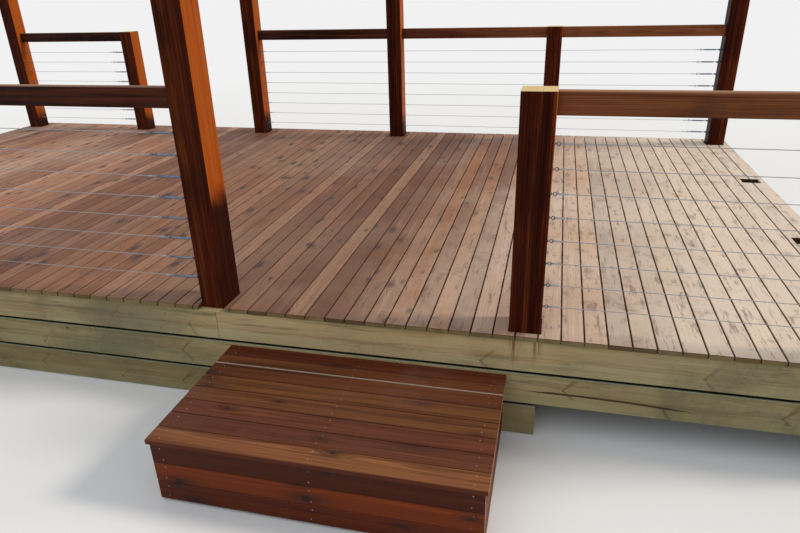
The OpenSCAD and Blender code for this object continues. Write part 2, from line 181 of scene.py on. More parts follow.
def noise(vector, scale, detail=2.0, roughness=0.5):
    """Soft noise from 0 to 1 at so many spots a metre."""
    return put(vector.id_data, "ShaderNodeTexNoise", {
        "Vector": vector, "Scale": scale, "Detail": detail, "Roughness": roughness}).outputs["Fac"]


def long_noise(position, spots):
    """Noise with another number of spots a metre along each axis."""
    spot = put(position.id_data, "ShaderNodeVectorMath", {0: position, 1: spots},
               operation="MULTIPLY")
    return noise(spot.outputs[0], 1, 3, 0.6)


def dice(seed):
    """A random value and a random colour for each seed."""
    return put(seed.id_data, "ShaderNodeTexWhiteNoise", {"W": seed}, noise_dimensions="1D").outputs


def make_board_place():
    """Which board of a row a point is on, as a random number, and its place from the middle."""
    tree = new_group("Board place", {"Vector": "Vector", "Middle": "Vector", "Pitch": "Vector"},
                     {"Number": "Float", "Local": "Vector"})
    given = put(tree, "NodeGroupInput").outputs

    def step(operation, *vectors):
        return put(tree, "ShaderNodeVectorMath", dict(enumerate(vectors)),
                   operation=operation).outputs[0]

    offset = step("SUBTRACT", given["Vector"], given["Middle"])
    index = step("FLOOR", step("ADD", step("DIVIDE", offset, given["Pitch"]), (0.5, 0.5, 0.5)))
    local = step("SUBTRACT", offset, step("MULTIPLY", index, given["Pitch"]))
    number = put(tree, "ShaderNodeTexWhiteNoise", {"Vector": index}, noise_dimensions="3D")
    put(tree, "NodeGroupOutput", {"Number": number.outputs["Value"], "Local": local})
    return tree


def make_timber_figure():
    """Growth rings, fibre, streaks and knots of a sawn board whose grain runs along its own X."""
    tree = new_group(
        "Timber figure",
        {"Vector": "Vector", "Number": "Float", "Ring Width": "Float", "Knot Size": "Float",
         "Knot Share": "Float", "Knot Step": "Float"},
        {"Rings": "Float", "Fibre": "Float", "Streaks": "Float", "Knot": "Float",
         "Halo": "Float", "Height": "Float"})
    given = put(tree, "NodeGroupInput").outputs
    part = split(given["Vector"])
    along, across, through = part["X"], part["Y"], part["Z"]
    seed = times(given["Number"], 971)
    luck = split(dice(seed)["Color"])

    def stretched(length, width, detail, roughness):
        """Noise that is drawn out along the grain, different on each board."""
        spot = put(tree, "ShaderNodeCombineXYZ", {
            0: scaled(along, 1 / length, seed),
            1: times(across, 1 / width),
            2: times(through, 1 / width)}).outputs[0]
        return noise(spot, 1, detail, roughness)

    # A knot stands in its cell; its true distance is worked out from the cell's own point
    knot_width = 0.10
    cell = put(tree, "ShaderNodeCombineXYZ", {
        0: maths("ADD", maths("DIVIDE", along, given["Knot Step"]), seed),
        1: times(across, 1 / knot_width)}).outputs[0]
    knots = put(tree, "ShaderNodeTexVoronoi", {"Vector": cell, "Scale": 1, "Randomness": 0.9},
                voronoi_dimensions="2D", feature="F1").outputs
    away = put(tree, "ShaderNodeVectorMath", {0: cell, 1: knots["Position"]},
               operation="SUBTRACT").outputs[0]
    away = split(away)
    away_along = times(away["X"], given["Knot Step"])
    away_across = times(away["Y"], knot_width)
    chance = split(knots["Color"])
    exists = maths("LESS_THAN", chance["X"], given["Knot Share"])
    radius = times(given["Knot Size"], scaled(chance["Y"], 0.9, 0.45))

    def from_knot(flattening):
        """Distance from the knot in its own radii, with the knot drawn out along the grain."""
        shrunk = times(away_along, flattening)
        square = times(shrunk, shrunk)
        square = scaled(away_across, away_across, square)
        return maths("DIVIDE", maths("SQRT", square), radius)

    ragged = scaled(noise(given["Vector"], 90), 0.7, 0.65)
    core = between(times(from_knot(0.75), ragged), 1.05, 0.75)
    core = times(core, exists)
    reach = from_knot(0.36)
    reach = times(times(reach, reach), -0.22)
    halo = times(maths("EXPONENT", reach), exists)

    # The rings are round a pith that lies off the board and leans a little along it
    wander = scaled(stretched(0.9, 0.2, 2, 0.5), 0.035, -0.0175)
    pith_across = maths("ADD", scaled(luck["X"], 0.08, -0.04), wander)
    lean = scaled(luck["Z"], 0.03, -0.015)
    pith_through = scaled(luck["Y"], 0.05, 0.015)
    pith_through = scaled(along, lean, pith_through)
    off_across = maths("ADD", across, pith_across)
    off_through = maths("ADD", through, pith_through)
    square = times(off_across, off_across)
    square = scaled(off_through, off_through, square)
    from_pith = scaled(halo, 0.012, maths("SQRT", square))
    streaks = stretched(0.8, 0.02, 3, 0.6)
    ring = maths("DIVIDE", from_pith, given["Ring Width"])
    ring = maths("FRACT", scaled(streaks, 0.8, ring))
    rings = times(between(ring, 0.25, 0.85), between(ring, 1, 0.88))
    fibre = stretched(0.10, 0.0022, 3, 0.65)
    height = scaled(rings, 0.5, fibre)
    height = scaled(core, -0.6, height)
    put(tree, "NodeGroupOutput", {"Rings": rings, "Fibre": fibre, "Streaks": streaks,
                                  "Knot": core, "Halo": halo, "Height": height})
    return tree


board_place = make_board_place()
timber_figure = make_timber_figure()
ALL = 1000      # a pitch that is wider than the deck: the row isn't divided that way


def start_timber(name, grain, middle, pitch, ring_width=0.005, knot_size=0.011, knot_share=0.35,
                 knot_step=0.4):
    """A new material with its timber figure. Grain names the axes along a board, across its face
    and through it. Middle is where its first board is, and pitch how far the next ones are."""
    material, tree = new_material(name)
    given = put(tree, "ShaderNodeTexCoord").outputs
    board = put(tree, "ShaderNodeGroup", {"Vector": given["Object"], "Middle": middle,
                                          "Pitch": pitch}, node_tree=board_place).outputs
    wood = SimpleNamespace(material=material, tree=tree, number=board["Number"],
                           position=given["Object"], at=split(given["Object"]),
                           local=split(board["Local"]), faces=split(given["Normal"]))
    lengthwise, crosswise, inwards = grain
    turned = put(tree, "ShaderNodeCombineXYZ", {
        0: wood.local[lengthwise], 1: wood.local[crosswise], 2: wood.local[inwards]}).outputs[0]
    figure = put(tree, "ShaderNodeGroup", {
        "Vector": turned, "Number": wood.number, "Ring Width": ring_width,
        "Knot Size": knot_size, "Knot Share": knot_share, "Knot Step": knot_step},
        node_tree=timber_figure).outputs
    for output in ("Rings", "Fibre", "Streaks", "Knot", "Halo", "Height"):
        setattr(wood, output.lower(), figure[output])
    wood.along, wood.turned = wood.local[lengthwise], turned
    wood.end_grain = between(maths("ABSOLUTE", wood.faces[lengthwise]), 0.6, 0.8)
    return wood


def drawn_out(wood, along, across, detail=4, roughness=0.65):
    """Noise that follows the grain, so many spots a metre, and differs from board to board."""
    tree = wood.tree
    shift = put(tree, "ShaderNodeCombineXYZ", {0: times(wood.number, 613)})
    spot = put(tree, "ShaderNodeVectorMath", {
        0: wood.turned, 1: (along, across, across), 2: shift.outputs[0]},
        operation="MULTIPLY_ADD").outputs[0]
    return noise(spot, 1, detail, roughness)


def colours(value, *stops, stepped=False):
    """A colour ramp: each stop is a place from 0 to 1 and a colour."""
    made = put(value.id_data, "ShaderNodeValToRGB", {0: value})
    made.color_ramp.interpolation = "CONSTANT" if stepped else "LINEAR"
    elements = made.color_ramp.elements
    while len(elements) < len(stops):
        elements.new(0.5)
    for element, (position, colour) in zip(elements, stops):
        element.position = position
        element.color = (*colour, 1)
    return made.outputs[0]


def over(factor, under, top, strength=1.0, how="MIX"):
    """Lays a colour over another where the factor says, up to a strength. A factor is a value, or
    a value with where it starts to count and where it counts in full."""
    if isinstance(factor, tuple):
        factor = between(*factor)
    tree = factor.id_data
    made = tree.nodes.new("ShaderNodeMix")
    made.data_type = "RGBA"
    made.blend_type = how
    if strength != 1.0:
        factor = times(factor, strength)
    tree.links.new(factor, made.inputs[0])
    for socket, colour in ((made.inputs[6], under), (made.inputs[7], top)):
        if isinstance(colour, bpy.types.NodeSocket):
            tree.links.new(colour, socket)
        else:
            socket.default_value = (*colour, 1)
    return made.outputs[2]


def finish_timber(wood, colour, roughness, grain_depth, sheen=0.3, height=None):
    """Ends a timber material: its colour, its roughness and its bumps, in metres."""
    tree = wood.tree
    bump = put(tree, "ShaderNodeBump", {"Strength": 1.0, "Distance": grain_depth,
                                        "Height": wood.height if height is None else height})
    shader = put(tree, "ShaderNodeBsdfPrincipled", {
        "Base Color": colour, "Roughness": roughness, "Specular IOR Level": sheen,
        "Normal": bump.outputs[0]})
    put(tree, "ShaderNodeOutputMaterial", {"Surface": shader.outputs[0]})
    return wood.material


def wear(material, *nodes):
    """Gives CAD nodes their finish, on the slots that they already have."""
    for node in nodes:
        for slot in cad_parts[node].material_slots:
            slot.material = material


def middle_of(node):
    low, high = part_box(node)
    return (low + high) / 2


row_posts = ("front_left_corner_post", "front_left_short_post", "front_left_tall_post",
             "entry_tall_post", "entry_short_post", "front_right_corner_post")
line_xs = [middle_of(name).x for name in row_posts]
front_y, back_y = middle_of("entry_tall_post").y, middle_of("back_middle_tall_post").y
# The two bays on the left are a little narrower than the three to their right
turn_x = line_xs[2]
left_bay, bay = turn_x - line_xs[1], line_xs[3] - turn_x
joist_low, joist_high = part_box("joists")
joist_top = joist_high.z


def from_post(x):
    """How far a place is to the right of the nearest line of posts."""
    offset = minus(x, turn_x)
    step = scaled(maths("GREATER_THAN", offset, 0), bay - left_bay, left_bay)
    count = maths("DIVIDE", offset, step)
    count = minus(count, maths("ROUND", count))
    return times(count, step)


def bare_pine(wood):
    """Unstained treated pine: pale sapwood with a green tinge, brown rings and dark knots."""
    colour = colours(wood.number, (0, (0.42, 0.36, 0.20)), (0.35, (0.52, 0.42, 0.25)),
                     (0.7, (0.46, 0.40, 0.25)), (1, (0.56, 0.44, 0.26)))
    colour = over(wood.rings, colour, (0.38, 0.27, 0.13), 0.6)
    colour = over((wood.streaks, 0.48, 0.7), colour, (0.34, 0.28, 0.15), 0.6)
    colour = over((wood.streaks, 0.42, 0.22), colour, (0.62, 0.52, 0.33), 0.5)
    colour = over(wood.halo, colour, (0.30, 0.19, 0.08), 0.55)
    return over(wood.knot, colour, (0.085, 0.042, 0.018), 0.9)


def frame_timber(name, grain, middle, pitch):
    """Rough sawn pine under the deck: saw marks across the grain, dust and grey weathering."""
    wood = start_timber(name, grain, middle, pitch, ring_width=0.006, knot_size=0.012)
    colour = bare_pine(wood)
    damp = noise(wood.position, 2.3, 4, 0.6)
    colour = over((damp, 0.45, 0.7), colour, (0.24, 0.23, 0.14), 0.55)
    splash = scaled(damp, 0.2, wood.at["Z"])
    colour = over((splash, 0.30, 0.02), colour, (0.20, 0.15, 0.09), 0.6)
    colour = over(wood.end_grain, colour, (0.36, 0.27, 0.13), 0.5)
    saw_marks = maths("SINE", scaled(wood.along, 900, times(damp, 25)))
    height = scaled(saw_marks, 0.25, wood.height)
    roughness = scaled(wood.fibre, 0.2, 0.68)
    return finish_timber(wood, colour, roughness, 0.0012, height=height)


wear(frame_timber("Frame timber, upright", "ZXY", (turn_x, 0, 0.2), (bay, 0.5, ALL)),
     "stumps", "edge_battens")
wear(frame_timber("Frame timber, front to back", "YZX", (turn_x + bay / 4, 0, 0.27),
                  (bay / 2, ALL, ALL)), "bearers")
frame_t = 0.045
joists = 9
first_joist = joist_low.y + frame_t / 2
joist_pitch = (joist_high.y - joist_low.y - frame_t) / (joists - 1)
wear(frame_timber("Frame timber, left to right", "XZY", (0, first_joist, 0.4),
                  (ALL, joist_pitch, ALL)), "joists")


# The posts are 135 mm square and glued up from five upright layers of pine each. They were
# stained a dark red-brown in place, so the wood under the deck is bare and the stain has run.
post_w = 2 * (middle_of("entry_tall_post").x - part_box("entry_tall_post")[0].x)
layers = 5
layer = post_w / layers


def stained_post():
    wood = start_timber("Stained post", "ZXY", (turn_x, front_y, 1.2),
                        (bay, back_y - front_y, ALL),
                        ring_width=0.004, knot_size=0.006, knot_share=0.12, knot_step=0.6)
    tree = wood.tree
    # Each layer has its own number, and its own figure instead of the whole post's
    shift = maths("DIVIDE", from_post(wood.at["X"]), layer)
    index = maths("FLOOR", maths("ADD", shift, layers / 2))
    inside = minus(maths("ADD", shift, layers / 2), index)
    tag = scaled(wood.number, 61.7, index)
    tone = dice(tag)[0]
    turned = put(tree, "ShaderNodeCombineXYZ", {
        0: wood.local["Z"], 1: wood.local["Y"],
        2: scaled(inside, layer, -layer / 2)}).outputs[0]
    figure = put(tree, "ShaderNodeGroup", {
        "Vector": turned, "Number": tone, "Ring Width": 0.0045, "Knot Size": 0.006,
        "Knot Share": 0.15, "Knot Step": 0.6}, node_tree=timber_figure).outputs
    glue = between(maths("ABSOLUTE", minus(inside, 0.5)), 0.465, 0.5)
    fine = long_noise(wood.position, (210, 210, 3.5))
    shade = scaled(tone, 0.20, scaled(fine, 0.7, -0.22))
    colour = colours(scaled(figure["Streaks"], 0.65, shade),
                     (0.22, (0.008, 0.0010, 0.0006)), (0.42, (0.026, 0.0030, 0.0010)),
                     (0.60, (0.066, 0.0100, 0.0024)), (0.80, (0.17, 0.038, 0.007)))
    colour = over(figure["Rings"], colour, (0.030, 0.0045, 0.0015), 0.4)
    blotch = noise(wood.position, 3.1, 4, 0.6)
    colour = over((blotch, 0.48, 0.72), colour, (0.016, 0.0028, 0.0014), 0.6)
    # Painted sunlight: the side towards the low sun is painted bright orange as if lit, down to
    # a painted shadow edge where the rails would shade it, which is lower at the back
    fall = 0.10
    shade_low, shade_high = 1.12 + fall * front_y, 1.28 + fall * front_y
    sunlit = scaled(wood.at["Y"], fall, scaled(blotch, 0.3, wood.at["Z"]))
    fade = times(between(wood.faces["X"], 0.5, 0.9), between(sunlit, shade_low, shade_high))
    painted_sun_orange = colours(scaled(fine, 0.6, times(figure["Streaks"], 0.4)),
                     (0.3, (0.62, 0.095, 0.006)), (0.5, (0.95, 0.190, 0.013)),
                     (0.7, (1.00, 0.290, 0.038)))
    colour = over(fade, colour, painted_sun_orange, 0.92)
    colour = over(figure["Knot"], colour, (0.012, 0.003, 0.002), 0.8)
    colour = over(glue, colour, (0.012, 0.003, 0.002), 0.6)
    # Sawn ends drink less stain and stay light
    end = over(figure["Rings"], (0.74, 0.55, 0.26), (0.52, 0.33, 0.13), 0.7)
    end = over((blotch, 0.55, 0.75), end, (0.30, 0.13, 0.05), 0.5)
    colour = over(wood.end_grain, colour, end)
    # Bare wood and runs of stain under the deck
    runs = long_noise(wood.position, (55, 55, 3))
    level = scaled(runs, -0.34, joist_top + 0.04)
    bare = between(minus(wood.at["Z"], level), 0.006, -0.006)
    colour = over(bare, colour, bare_pine(wood))
    height = scaled(glue, -0.8, figure["Height"])
    roughness = scaled(figure["Fibre"], 0.25, 0.36)
    roughness = scaled(bare, 0.25, roughness)
    return finish_timber(wood, colour, roughness, 0.0005, sheen=0.05, height=height)


wear(stained_post(), *[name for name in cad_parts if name.endswith("_post")])


# Three rows of treated pine boards close the edge of the deck. They were sawn through the heart
# of small logs, so their knots are slanting spikes, and they were nailed on and left unstained.
edge_w = 0.150
edge_pitch = 0.165
edge_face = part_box("front_edge_middle")[0].y
decking_low, decking_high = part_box("decking_left")
board_w, board_t = 0.090, 0.022
board_pitch = 0.095
short_entry_x = middle_of("entry_short_post").x


def edge_timber(name, grain, boards_x=(0, ALL), boards_y=(0, ALL), crack=False):
    """Unstained edge boards. The first numbers of a row are where its first board is, and its
    step. The boards are counted upwards too, because three rows share a material."""
    middle = (boards_x[0], boards_y[0], joist_top - edge_w / 2)
    wood = start_timber(name, grain, middle, (boards_x[1], boards_y[1], edge_pitch),
                        ring_width=0.007, knot_size=0.007, knot_share=0.3, knot_step=0.5)
    colour = bare_pine(wood)
    # Spike knots: two arms that lean along the board from a point near its heart
    whorl_step = 0.46
    count = scaled(wood.number, 7.3, maths("DIVIDE", wood.at[grain[0]], whorl_step))
    whorl = maths("FLOOR", count)
    luck = split(dice(scaled(wood.number, 91.3, whorl))["Color"])
    where = minus(minus(count, whorl), 0.5)
    where = scaled(minus(luck["X"], 0.5), 0.5, where)
    where = times(where, whorl_step)
    heart = scaled(luck["Y"], 0.08, -0.045)
    rise = minus(wood.local["Z"], heart)
    reach = maths("ABSOLUTE", rise)
    crooked = noise(wood.position, 26, 3, 0.6)
    slant = scaled(luck["Z"], 0.9, 0.4)
    off = minus(where, times(reach, slant))
    off = scaled(minus(crooked, 0.5), 0.030, off)
    spread = scaled(luck["X"], 0.34, 0.06)
    spread = scaled(reach, spread, 0.002)
    spread = maths("DIVIDE", maths("ABSOLUTE", off), spread)
    arm = between(spread, 1.35, 0.55)
    # Some whorls have one arm only, and the arm breaks off before the edge of the board
    one_sided = times(rise, minus(luck["Z"], 0.45))
    one_sided = maths("GREATER_THAN", one_sided, -0.006)
    shown = maths("LESS_THAN", luck["Y"], 0.75)
    arm = times(arm, times(one_sided, shown))
    tip = between(scaled(crooked, 0.06, reach), 0.115, 0.060)
    arm = times(arm, tip)
    arm = times(arm, scaled(crooked, 1.4, 0.3), clamp=True)
    # Painted light makes the boards palest behind the step. They are paler in their lower halves
    # too, with warm and dark streaks
    pale = times(between(wood.at["X"], 0.0, 1.1), between(wood.at["X"], 2.8, 1.9))
    colour = over(pale, colour, (0.80, 0.62, 0.36), 0.60)
    warm = drawn_out(wood, 1.1, 15)
    colour = over((warm, 0.46, 0.70), colour, (0.44, 0.27, 0.12), 0.55)
    smear = drawn_out(wood, 2.2, 30)
    colour = over((smear, 0.52, 0.68), colour, (0.13, 0.105, 0.060), 0.65)
    low_half = scaled(warm, 0.09, wood.local["Z"])
    colour = over((low_half, 0.055, 0.005), colour, (0.62, 0.56, 0.36), 0.42)
    light = drawn_out(wood, 3.1, 44)
    colour = over((light, 0.54, 0.70), colour, (0.66, 0.54, 0.33), 0.5)
    clear = scaled(luck["X"], 0.55, 0.35)
    colour = over(times(arm, clear), colour, (0.20, 0.092, 0.032), 0.85)
    rim = times(between(spread, 0.55, 0.90), arm)
    colour = over(times(rim, clear), colour, (0.085, 0.045, 0.020), 0.55)
    eye = maths("ADD", times(where, where), times(rise, rise))
    eye = times(eye, scaled(crooked, 3, -0.4))
    eye = times(between(eye, 0.00010, 0.00001), shown)
    colour = over(eye, colour, (0.12, 0.065, 0.028), 0.6)
    # The pith shows as a faint brown line, and rain has left grey-green runs and dark spots
    pith = scaled(wood.streaks, 0.05, minus(wood.local["Z"], 0.02))
    pith = maths("ABSOLUTE", pith)
    colour = over((pith, 0.006, 0.001), colour, (0.33, 0.22, 0.10), 0.4)
    weather = noise(wood.position, 1.9, 5, 0.62)
    grey = times(between(weather, 0.44, 0.64), scaled(pale, -0.7, 1))
    colour = over(grey, colour, (0.21, 0.195, 0.135), 0.65)
    aged = scaled(weather, 0.5, 0.55, clamp=True)
    low_row = scaled(weather, 0.05, wood.at["Z"])
    colour = over((low_row, 0.20, 0.16), colour, (0.33, 0.23, 0.11), 0.35)
    top_damp = scaled(weather, 0.05, wood.local["Z"])
    colour = over((top_damp, 0.078, 0.105), colour, (0.24, 0.21, 0.10), 0.6)
    specks = noise(wood.position, 120, 2, 0.5)
    mould = times(between(specks, 0.60, 0.72), between(weather, 0.42, 0.66))
    colour = over(mould, colour, (0.075, 0.062, 0.038), 0.7)
    colour = over(aged, colour, (0.86, 0.81, 0.67), how="MULTIPLY")
    # Painted shade: the rows are painted darker towards the ground
    shaded = scaled(weather, 0.1, wood.at["Z"])
    colour = over((shaded, 0.56, 0.16), colour, (0.62, 0.66, 0.62), 0.8, how="MULTIPLY")
    # Painted light and shade on the ledges in the gaps between the rows: a pale blue-green painted
    # highlight along their front arris, and painted black shade behind it
    ledge = times(between(wood.faces["Z"], 0.5, 0.9),
                  maths("LESS_THAN", wood.at["Z"], joist_top - edge_w / 2))
    painted_ledge_shade = between(scaled(crooked, 0.006, wood.at["Y"]), edge_face + 0.008, edge_face + 0.016)
    colour = over(ledge, colour, (0.36, 0.41, 0.31), 0.6)
    colour = over(times(ledge, painted_ledge_shade), colour, (0.012, 0.011, 0.008))
    height = scaled(arm, -0.5, wood.height)
    if crack:
        # A drying crack to the right of the step, open in the middle and bent down to its ends
        crack_x, crack_z = 2.325, 0.236
        left_end, right_end = (2.135, 2.265), (2.855, 2.705)
        bend = minus(wood.at["X"], crack_x)
        line = scaled(times(bend, bend), 0.07, -crack_z)
        line = maths("ADD", wood.at["Z"], line)
        line = scaled(minus(crooked, 0.5), 0.006, line)
        ends = times(between(wood.at["X"], *left_end), between(wood.at["X"], *right_end))
        width = scaled(ends, 0.0052, 0.0003)
        split_line = between(maths("DIVIDE", maths("ABSOLUTE", line), width), 1.2, 0.6)
        split_line = times(split_line, maths("GREATER_THAN", ends, 0.02))
        colour = over(split_line, colour, (0.050, 0.020, 0.009), 0.95)
        height = scaled(split_line, -3, height)
    # Stain ran down out of the gaps in the decking beside the short entry post
    gap = minus(wood.at["X"], decking_low.x - (board_pitch - board_w) / 2)
    gap = maths("DIVIDE", gap, board_pitch)
    gap = minus(gap, maths("ROUND", gap))
    gap = maths("ABSOLUTE", times(gap, board_pitch))
    from_line = maths("ABSOLUTE", minus(wood.at["X"], short_entry_x))
    near = between(from_line, 0.105, 0.070)
    trickle = between(long_noise(wood.position, (190, 190, 5)), 0.34, 0.60)
    spread = between(scaled(crooked, -0.020, gap), 0.022, -0.006)
    lower = between(scaled(crooked, 0.08, wood.at["Z"]), 0.37, 0.52)
    drip = times(times(near, trickle), times(spread, lower))
    colour = over(drip, colour, (0.20, 0.060, 0.018), 0.9)
    colour = over(wood.end_grain, colour, (0.34, 0.26, 0.12), 0.5)
    roughness = scaled(wood.fibre, 0.2, 0.60)
    return finish_timber(wood, colour, roughness, 0.0005, height=height)


joint_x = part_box("front_edge_top_left")[1].x
wear(edge_timber("Edge timber, jointed row", "XZY", boards_x=(joint_x - ALL / 2, ALL)),
     "front_edge_top_left", "front_edge_top_right")
wear(edge_timber("Edge timber, front rows", "XZY", crack=True),
     "front_edge_middle", "front_edge_bottom")
wear(edge_timber("Edge timber, back", "XZY", boards_x=(0.4, ALL), boards_y=(50, ALL)),
     "back_edge_boards")
wear(edge_timber("Edge timber, ends", "YZX", boards_x=(line_xs[0], 4 * bay)),
     "left_edge_boards", "right_edge_boards")


# Seventy-eight dressed pine boards, 90 by 22 mm, run from the front edge to the back with 5 mm
# gaps. They have a thin red-brown oil stain, worn and greyed by feet and weather, and their sawn
# ends are bare.
def decking():
    middle = (decking_low.x + board_w / 2, 0, joist_top + board_t / 2)
    wood = start_timber("Decking", "YXZ", middle, (board_pitch, ALL, ALL), ring_width=0.0055,
                        knot_size=0.017, knot_share=0.55, knot_step=0.42)
    colour = colours(wood.number, (0.0, (0.17, 0.066, 0.036)), (0.2, (0.36, 0.180, 0.112)),
                     (0.4, (0.49, 0.268, 0.172)), (0.6, (0.21, 0.106, 0.077)),
                     (0.8, (0.44, 0.196, 0.090)), (1.0, (0.49, 0.285, 0.188)))
    colour = over(wood.rings, colour, (0.22, 0.098, 0.056), 0.50)
    colour = over((wood.streaks, 0.50, 0.72), colour, (0.19, 0.082, 0.048), 0.6)
    colour = over((wood.streaks, 0.42, 0.25), colour, (0.62, 0.38, 0.25), 0.55)
    # Greyed and dusty where people walk, and redder where they don't
    worn = noise(wood.position, 0.8, 5, 0.62)
    colour = over((worn, 0.45, 0.70), colour, (0.43, 0.31, 0.24), 0.45)
    colour = over((worn, 0.50, 0.30), colour, (0.31, 0.115, 0.052), 0.35)
    # Painted shade darkens the middle, in from the entry, and painted sunlight makes the open
    # right end pale
    place = scaled(worn, 1.5, wood.at["X"])
    painted_middle_shade = times(between(place, -1.2, 0.6), between(place, 3.2, 2.0))
    colour = over(painted_middle_shade, colour, (0.62, 0.55, 0.47), 0.85, how="MULTIPLY")
    painted_sunlight = between(place, 2.2, 4.2)
    colour = over(painted_sunlight, colour, (0.88, 0.77, 0.62), 0.65)
    marks = noise(wood.position, 7.5, 4, 0.7)
    colour = over((marks, 0.54, 0.76), colour, (0.12, 0.062, 0.046), 0.5)
    # Feet have rubbed dirt into smears that follow the grain
    smear = drawn_out(wood, 7, 38, roughness=0.7)
    colour = over((smear, 0.54, 0.70), colour, (0.110, 0.070, 0.058), 0.6)
    ragged = noise(wood.position, 60, 3, 0.7)
    stained = scaled(noise(wood.position, 60, 4, 0.75), 1.3, wood.halo)
    stained = times(between(stained, 1.22, 1.60), wood.halo)
    # Painted sunlight: knots and their stains are painted fainter towards the sunlit right end
    knots_under_painted_sun = scaled(between(place, 1.4, 3.2), -0.75, 1)
    colour = over(times(stained, knots_under_painted_sun), colour, (0.085, 0.054, 0.050), 0.9)
    core = times(wood.knot, scaled(ragged, 1.6, -0.1), clamp=True)
    colour = over(times(core, knots_under_painted_sun), colour, (0.050, 0.028, 0.026), 0.9)
    specks = noise(wood.position, 170, 2, 0.5)
    colour = over((specks, 0.69, 0.76), colour, (0.07, 0.035, 0.025), 0.6)
    # Stain gathers along the eased edges, and painted shade darkens the board sides down in the
    # gaps
    side = maths("ABSOLUTE", wood.local["X"])
    side = scaled(marks, 0.006, side)
    colour = over((side, 0.0445, 0.0475), colour, (0.10, 0.036, 0.022), 0.7)
    painted_gap_shade = between(wood.at["Z"], joist_top + 0.020, joist_top + 0.010)
    colour = over(painted_gap_shade, colour, (0.060, 0.024, 0.016), 0.75)
    # Bare ends, where on some boards the stain ran over the edge
    ends = dice(times(wood.number, 53))[0]
    bare = colours(ends, (0, (0.22, 0.160, 0.066)), (0.4, (0.29, 0.215, 0.094)),
                   (0.7, (0.15, 0.096, 0.040)), (1, (0.09, 0.054, 0.022)))
    bare = over(wood.rings, bare, (0.16, 0.100, 0.040), 0.6)
    bare = over((marks, 0.46, 0.62), bare, (0.13, 0.095, 0.042), 0.6)
    drip = between(scaled(ragged, 0.012, wood.at["Z"]), joist_top + 0.020, joist_top + 0.030)
    bare = over(drip, bare, (0.17, 0.055, 0.022), 0.8)
    # Painted shade: end faces more than 20 mm in from the front and back edges of the deck are
    # painted almost black
    inside = maths("MINIMUM", minus(wood.at["Y"], decking_low.y),
                   minus(decking_high.y, wood.at["Y"]))
    bare = over((inside, 0.01, 0.02), bare, (0.045, 0.020, 0.012), 0.9)
    colour = over(wood.end_grain, colour, bare)
    roughness = scaled(worn, 0.25, 0.42)
    roughness = scaled(wood.fibre, 0.12, roughness)
    return finish_timber(wood, colour, roughness, 0.0006, sheen=0.25)


wear(decking(), "decking_left", "decking_entry", "decking_right")


# The handrails fit between the posts. They are dressed 90 by 45 mm pine in the same dark stain,
# with a satin shine, and fixed by screws driven at a slant through their undersides.
def stained_rail():
    middle = (turn_x + bay / 2, front_y, middle_of("front_left_rails").z)
    wood = start_timber("Stained rail", "XZY", middle, (bay, back_y - front_y, ALL),
                        ring_width=0.005, knot_size=0.008, knot_share=0.3, knot_step=0.45)
    # Painted light: they are painted darkest at the shaded left end and lighter towards the sunlit
    # right one
    painted_sunlight = between(wood.at["X"], -0.5, 2.5)
    colour = colours(scaled(painted_sunlight, 0.36, times(wood.streaks, 0.62)),
                     (0.28, (0.013, 0.0020, 0.0010)), (0.48, (0.105, 0.025, 0.009)),
                     (0.7, (0.27, 0.092, 0.034)))
    colour = over(times(wood.rings, painted_sunlight), colour, (0.055, 0.011, 0.005), 0.5)
    colour = over(times(wood.halo, painted_sunlight), colour, (0.045, 0.010, 0.006), 0.5)
    colour = over(wood.knot, colour, (0.014, 0.005, 0.004), 0.85)
    blotch = noise(wood.position, 4.2, 4, 0.6)
    colour = over((blotch, 0.5, 0.75), colour, (0.060, 0.022, 0.016), 0.5)
    # The top is worn lighter by sun and hands, and painted lighter still as a painted highlight
    # from above
    top = between(wood.faces["Z"], 0.5, 0.9)
    colour = over(times(top, maths("ADD", blotch, 0.3)), colour, (0.40, 0.22, 0.13), 0.8)
    roughness = scaled(wood.fibre, 0.2, 0.36)
    return finish_timber(wood, colour, roughness, 0.0005, sheen=0.08)


wear(stained_rail(), "front_left_rails", "front_right_rail", "back_left_rail", "back_right_rails")


# Eight stainless wires run through each panel, 100 mm apart. Each is a strand of seven, ends in
# a loop pressed in a ferrule round a thimble, and is drawn tight by a turnbuckle on a screw eye.
wire_d = 0.0032
wire_step = 0.100
strand_lay = 0.028
thread_pitch = 0.0009
bare_rod_r = 0.0025
first_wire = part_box("decking_left")[1].z + wire_step


